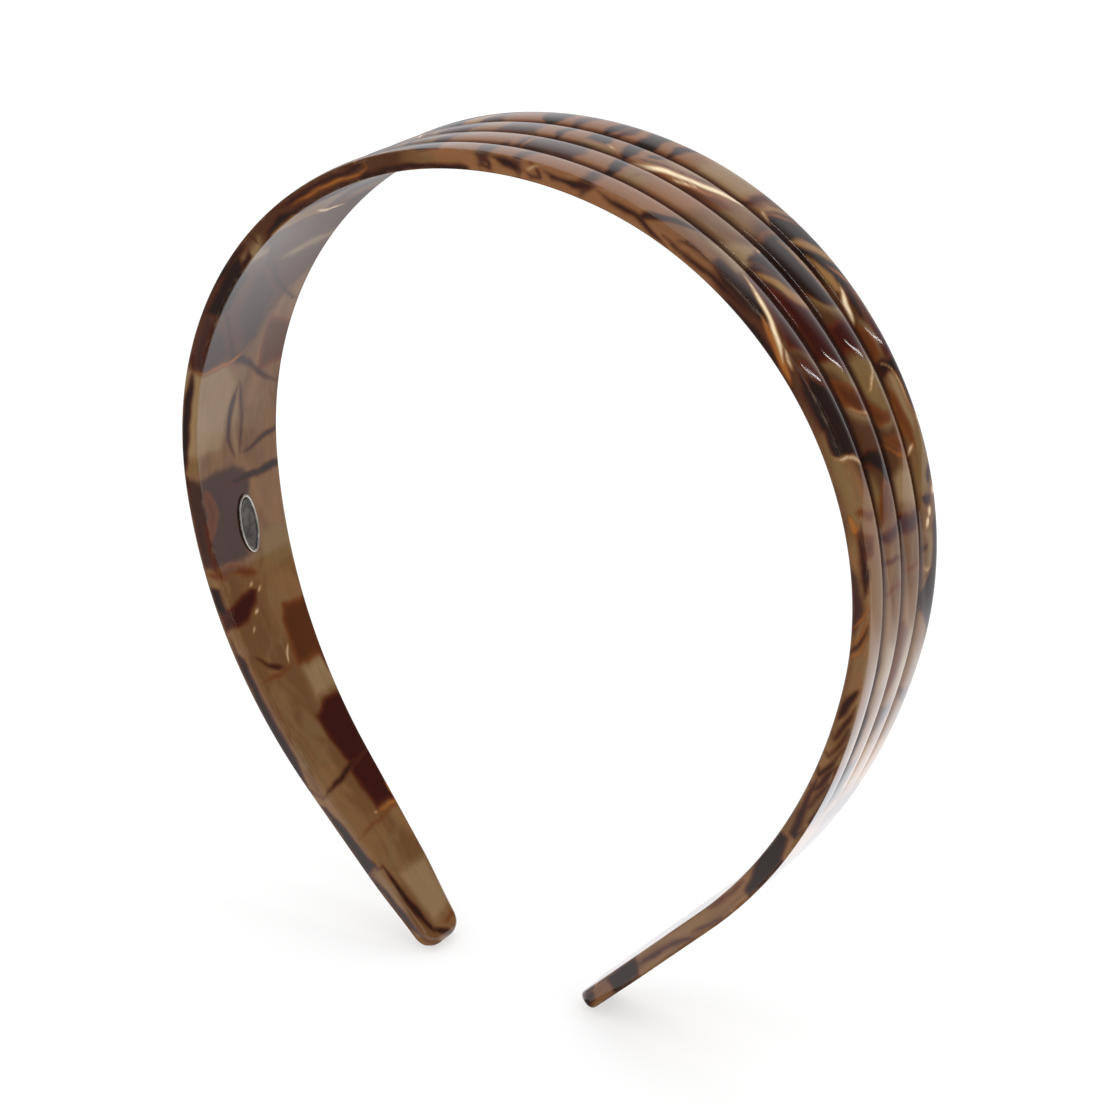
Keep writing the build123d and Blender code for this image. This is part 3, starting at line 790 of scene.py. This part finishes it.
def acetate():
    material = bpy.data.materials.new("acetate_tortoiseshell")
    material.use_nodes = True
    tree = Tree(material.node_tree)
    place = tree.attribute("strip", "Vector")

    cloud = tree.noise(tree.stretched(place, 35, (0.05, 0.12, 0.3)), 1.0, 3.0, 0.5, 0.6)
    veil = tree.noise(tree.stretched(place, -30, (0.10, 0.24, 0.3)), 1.0, 2.0, 0.5, 0.8)
    fibre = tree.noise(tree.stretched(place, 40, (0.08, 0.7, 0.5)), 1.0, 3.0, 0.6, 0.8)
    wander = tree.noise(place, 0.16, 1.5, 0.5, 0.3)
    ragged = tree.noise(place, 0.8, 2.0, 0.6)

    colour = tree.blend(tree.step(cloud, 0.40, 0.60), srgb("7c5836"), srgb("684628"))
    colour = tree.blend(tree.step(veil, 0.5, 0.7, 0.0, 0.7), colour, srgb("765a3a"))
    bend = tree.math("ADD", tree.math("SUBTRACT", wander, 0.5),
                     tree.math("MULTIPLY", tree.math("SUBTRACT", ragged, 0.5), 0.15))
    for pigment in PIGMENTS:
        rim, deep, softness, roam, cover, rim_width = LAYERS[pigment]
        edge = tree.math("ADD", tree.attribute(pigment), tree.math("MULTIPLY", bend, roam * 2))
        mask = tree.step(edge, softness, -softness, 0.0, cover)
        tone = tree.blend(tree.step(edge, softness / 2, -rim_width), srgb(rim), srgb(deep))
        colour = tree.blend(mask, colour, tone)
    shade = tree.step(fibre, 0.3, 0.7, 0.94, 1.05)
    colour = tree.blend(1.0, colour, tree.grey(shade), "MULTIPLY")

    # Painted shade: the colour is darkened and reddened towards the bottom of each groove, where shade
    # would fall.
    groove_shade = tree.step(tree.attribute("groove_shade"), 0.45, 1.0)
    colour = tree.blend(groove_shade, colour, srgb("6c4030"), "MULTIPLY")

    scratch = tree.noise(tree.stretched(place, 12, (0.6, 22.0, 22.0)), 1.0, 2.0)
    polish = tree.noise(place, 0.25, 2.0)
    scuffs = tree.noise(tree.stretched(place, 8, (0.5, 2.5, 2.5)), 1.0, 3.0, 0.6)
    wear = tree.math("MULTIPLY", tree.step(scuffs, 0.45, 0.7), tree.attribute("arris"))
    colour = tree.blend(tree.math("MULTIPLY", wear, 0.15), colour, srgb("a89270"))
    roughness = tree.math("ADD", tree.step(polish, 0.3, 0.7, 0.04, 0.09), tree.math("MULTIPLY", wear, 0.12))
    height = tree.math("ADD", tree.math("MULTIPLY", scratch, 0.1), polish)
    bump = tree.add("ShaderNodeBump", {"Strength": 0.02, "Distance": 0.0002, "Height": height})

    surface = tree.add("ShaderNodeBsdfPrincipled", {
        "Base Color": colour, "Roughness": roughness, "IOR": 1.5, "Normal": bump.outputs[0],
    })
    tree.add("ShaderNodeOutputMaterial", {"Surface": surface.outputs[0]})
    return material


# ------------------------------------------------------------------ the strip, in six lengths

STRIP_PARTS = (("crown", "crown", "shoulder"), ("shoulder", "shoulder", "arm"), ("arm", "arm", "tip"))


def build_strip(material):
    pieces = {"right": [], "left": []}
    for side, hand in (("right", 1), ("left", -1)):
        for index, (label, first, second) in enumerate(STRIP_PARTS):
            piece = strip_mesh(f"strip_{side}_{label}_length", hand, SEAMS[index], SEAMS[index + 1])
            piece.data.materials.append(material)
            bodies = [part if part == "crown" else f"{side}_{part}" for part in (first, second)]
            reach = BEND_REACH[second]
            ends, _ = middle_line(hand * np.array([KNUCKLES[second] - reach, KNUCKLES[second] + reach]))
            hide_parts(*bodies)
            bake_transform(piece)
            pieces[side].append(piece)
    return pieces


# ------------------------------------------------------------------ the blank plaque

PLAQUE_DISTANCE, PLAQUE_LENGTH, PLAQUE_HEIGHT = 120.0, 11.0, 5.0
# From the hidden underside, up over the rim and down to its floor: how far in from the oval's
# edge and how high above the strip's inner face.
PLAQUE_RIM = ((0.1, -0.31), (0.0, -0.25), (0.0, 0.26), (0.03, 0.33), (0.09, 0.38), (0.18, 0.4),
              (0.32, 0.4), (0.41, 0.38), (0.47, 0.33), (0.5, 0.26), (0.54, 0.2), (0.62, 0.18),
              (0.7, 0.2), (0.75, 0.25))
PLAQUE_RIM_TOP = (3, 8)
PLAQUE_FLOOR = (0.95, 0.8, 0.6, 0.4, 0.2)
PLAQUE_STEPS = 120


def build_plaque(material):
    """A plain oval bent to the strip, with a rounded rim and a fine groove inside the rim."""
    turn = np.linspace(0, 2 * math.pi, PLAQUE_STEPS, endpoint=False)
    loops = [(PLAQUE_LENGTH / 2 - inset, PLAQUE_HEIGHT / 2 - inset, height) for inset, height in PLAQUE_RIM]
    last_length, last_height, floor_height = loops[-1]
    loops += [(last_length * share, last_height * share, floor_height) for share in PLAQUE_FLOOR]
    flat = [np.stack([length * np.cos(turn), height * np.sin(turn), 0 * turn + up], axis=1)
            for length, height, up in loops]
    flat = np.vstack([[[0, 0, loops[0][2]]], *flat, [[0, 0, floor_height]]])
    origin, outward = middle_line(flat[:, 0] - PLAQUE_DISTANCE)
    points = origin - outward * (THICKNESS / 2 + flat[:, 2:])
    points[:, 1] = flat[:, 1]

    here = 1 + np.arange(len(loops) * PLAQUE_STEPS).reshape(len(loops), PLAQUE_STEPS)
    after = np.roll(here, -1, axis=1)
    faces = np.stack([here[:-1], after[:-1], after[1:], here[1:]], axis=-1).reshape(-1, 4).tolist()
    faces += [(0, b, a) for a, b in zip(here[0].tolist(), after[0].tolist())]
    faces += [(len(points) - 1, a, b) for a, b in zip(here[-1].tolist(), after[-1].tolist())]
    mesh = bpy.data.meshes.new("blank_plaque")
    mesh.from_pydata((points * MM).tolist(), [], faces)
    shape = bmesh.new()
    shape.from_mesh(mesh)
    bmesh.ops.recalc_face_normals(shape, faces=shape.faces)
    shape.to_mesh(mesh)
    shape.free()
    mesh.polygons.foreach_set("use_smooth", np.ones(len(faces), bool))
    place = mesh.attributes.new("strip", "FLOAT_VECTOR", "POINT")
    place.data.foreach_set("vector", flat.astype(np.float32).ravel())
    first, last = PLAQUE_RIM_TOP
    raised = np.zeros(len(points))
    raised[here[first:last + 1].ravel()] = 1.0
    add_values(mesh, "raised", raised)
    mesh.materials.append(material)
    mesh.update()

    piece = bpy.data.objects.new("blank_plaque", mesh)
    bpy.context.scene.collection.objects.link(piece)
    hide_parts("plaque")
    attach(piece, "left_arm")


def plaque_metal():
    """Satin metal, brushed along the oval, with its raised rim rubbed bright."""
    material = bpy.data.materials.new("plaque_metal")
    material.use_nodes = True
    tree = Tree(material.node_tree)
    place = tree.attribute("strip", "Vector")
    brushed = tree.noise(tree.stretched(place, 3, (0.5, 16.0, 16.0)), 1.0, 3.0, 0.6)
    blotches = tree.noise(place, 0.7, 3.0)
    scratches = tree.noise(tree.stretched(place, 55, (0.4, 30.0, 30.0)), 1.0, 1.0)
    rubbed = tree.math("MULTIPLY", tree.attribute("raised"), tree.step(blotches, 0.2, 0.6, 0.5, 1.0))
    tone = tree.blend(tree.step(blotches, 0.35, 0.7), srgb("5c5855"), srgb("7a756f"))
    tone = tree.blend(rubbed, tone, srgb("d2ccc2"))
    roughness = tree.math("SUBTRACT", tree.step(brushed, 0.3, 0.7, 0.26, 0.42),
                          tree.math("MULTIPLY", rubbed, 0.14))
    height = tree.math("ADD", brushed, tree.step(scratches, 0.66, 0.72, 0.0, -0.8))
    bump = tree.add("ShaderNodeBump", {"Strength": 0.25, "Distance": 0.00002, "Height": height})
    surface = tree.add("ShaderNodeBsdfPrincipled", {
        "Base Color": tone, "Metallic": 1.0, "Roughness": roughness, "Normal": bump.outputs[0],
    })
    tree.add("ShaderNodeOutputMaterial", {"Surface": surface.outputs[0]})
    return material


# ------------------------------------------------------------------ studio

FLOOR_SIZE, FLOOR_GAP = 6.0, 0.0002
LAMP_DISTANCE = 4.0
# Each lamp: the directions that its two ends lie in, its width and its power.
BACK_TUBE = ((0.525, 0.704, 0.476), (0.375, 0.887, 0.270), 0.018, 1.3)
TOP_TUBE = ((0.24, 0.22, 0.94), (0.65, 0.19, 0.75), 0.04, 4.0)
GLOSS_TINT = (0.97, 0.97, 1.0, 1.0)


def floor():
    """A white floor. What the gloss mirrors of it is set by place and angle, and isn't physical."""
    bpy.ops.mesh.primitive_plane_add(size=FLOOR_SIZE, location=(0, 0, cad_low.z - FLOOR_GAP))
    plane = bpy.context.object
    plane.name = "studio_floor"
    material = bpy.data.materials.new("pale_floor")
    material.use_nodes = True
    tree = Tree(material.node_tree)
    paint = tree.add("ShaderNodeBsdfDiffuse", {"Color": (0.5, 0.5, 0.5, 1)})
    glow = tree.add("ShaderNodeEmission", {"Color": (1, 1, 1, 1), "Strength": 0.52})
    both = tree.add("ShaderNodeAddShader")
    tree.feed(both.inputs[0], paint.outputs[0])
    tree.feed(both.inputs[1], glow.outputs[0])
    seen = tree.add("ShaderNodeNewGeometry").outputs
    spot = tree.add("ShaderNodeSeparateXYZ", {"Vector": seen["Position"]}).outputs
    steepness = tree.add("ShaderNodeSeparateXYZ", {"Vector": seen["Incoming"]}).outputs["Z"]
    lit = tree.math("MULTIPLY", tree.step(spot["Y"], -0.12, -0.02, 0.2, 1.0),
                    tree.step(spot["Y"], 0.12, 0.20, 1.0, 0.4))
    lit = tree.math("MULTIPLY", lit, tree.step(spot["X"], 0.02, 0.06, 1.1, 1.7))
    lit = tree.math("MULTIPLY", lit, tree.step(steepness, 0.64, 0.74, 1.0, 0.15))
    mirrored = tree.add("ShaderNodeEmission", {"Color": GLOSS_TINT, "Strength": lit})
    rays = tree.add("ShaderNodeLightPath").outputs
    surface = tree.add("ShaderNodeMixShader", {"Fac": rays["Is Glossy Ray"]})
    tree.feed(surface.inputs[1], both.outputs[0])
    tree.feed(surface.inputs[2], mirrored.outputs[0])
    tree.add("ShaderNodeOutputMaterial", {"Surface": surface.outputs[0]})
    plane.data.materials.append(material)


def studio_world():
    """Soft even light on the strip, and a separate set of surroundings for its gloss to mirror.

    The gloss sees brightness behind that fades out to the right, a window in front on the right,
    and a dim room otherwise. The camera sees plain white.
    """
    world = bpy.data.worlds.new("studio")
    bpy.context.scene.world = world
    world.use_nodes = True
    tree = Tree(world.node_tree)
    direction = tree.add("ShaderNodeTexCoord").outputs["Generated"]
    parts = tree.add("ShaderNodeSeparateXYZ", {"Vector": direction}).outputs
    side = tree.step(parts["X"], 0.1, 0.45, 0.95, 0.1)
    room = tree.step(parts["Z"], -0.2, 0.6, 0.12, 0.3)
    front = tree.step(parts["Y"], 0.3, 0.62, room, 0.95)
    window = tree.math("MULTIPLY", tree.step(parts["X"], 0.1, 0.35),
                       tree.math("MULTIPLY", tree.step(parts["Y"], -0.1, -0.4),
                                 tree.step(parts["Z"], 0.15, 0.4, 0.0, 0.9)))
    mirrored = tree.math("MAXIMUM", tree.math("MINIMUM", side, front), window)
    rays = tree.add("ShaderNodeLightPath").outputs
    soft = tree.step(parts["Z"], -1.0, 1.0, 0.9, 1.15)
    lit = tree.mix(rays["Is Glossy Ray"], soft, mirrored)
    strength = tree.mix(rays["Is Camera Ray"], lit, 1.0)
    tint = tree.blend(rays["Is Glossy Ray"], (1, 1, 1, 1), GLOSS_TINT)
    background = tree.add("ShaderNodeBackground", {"Color": tint, "Strength": strength})
    tree.add("ShaderNodeOutputWorld", {"Surface": background.outputs[0]})


def tube_lamp(name, first, second, width, power):
    """A long thin lamp, LAMP_DISTANCE off, reaching from one direction to another."""
    ends = [Vector(direction).normalized() * LAMP_DISTANCE for direction in (first, second)]
    run = ends[1] - ends[0]
    data = bpy.data.lights.new(name, "AREA")
    data.shape = "RECTANGLE"
    data.size, data.size_y = run.length, width
    data.energy = power
    holder = bpy.data.objects.new(name, data)
    middle = (ends[0] + ends[1]) / 2
    back = middle.normalized()
    along = (run - run.dot(back) * back).normalized()
    turn = Matrix((along, back.cross(along), back)).transposed().to_4x4()
    holder.matrix_world = Matrix.Translation(middle) @ turn
    bpy.context.scene.collection.objects.link(holder)
    return holder


def shade_from(holder, pieces):
    """Keeps a lamp off every piece but these, as a flag on a stand would."""
    lit = bpy.data.collections.new(holder.name + "_lights")
    for piece in pieces:
        lit.objects.link(piece)
    holder.light_linking.receiver_collection = lit


CAMERA = {"azimuth": 30.12, "elevation": 24.10, "roll": 3.29, "distance": 0.5184, "lens": 99.53}
AIM_RIGHT, AIM_BELOW_TOP = 0.0039, 0.07243


def camera():
    data = bpy.data.cameras.new("camera")
    data.lens = CAMERA["lens"]
    data.sensor_width = 36.0
    data.clip_start = 0.01
    holder = bpy.data.objects.new("camera", data)
    azimuth, elevation, roll = (math.radians(CAMERA[key]) for key in ("azimuth", "elevation", "roll"))
    back = Vector((math.sin(azimuth) * math.cos(elevation), -math.cos(azimuth) * math.cos(elevation),
                   math.sin(elevation)))
    side = Vector((math.cos(azimuth), math.sin(azimuth), 0))
    up = back.cross(side)
    across = math.cos(roll) * side + math.sin(roll) * up
    upward = math.cos(roll) * up - math.sin(roll) * side
    aim = Vector((AIM_RIGHT, 0, cad_high.z - AIM_BELOW_TOP))
    turn = Matrix((across, upward, back)).transposed().to_4x4()
    holder.matrix_world = Matrix.Translation(aim + back * CAMERA["distance"]) @ turn
    bpy.context.scene.collection.objects.link(holder)
    bpy.context.scene.camera = holder


strip = build_strip(acetate())
build_plaque(plaque_metal())
floor()
studio_world()
back_tube = tube_lamp("back_tube", *BACK_TUBE)
shade_from(back_tube, strip["right"])
tube_lamp("top_tube", *TOP_TUBE)
camera()
bpy.context.scene.view_settings.view_transform = "Standard"
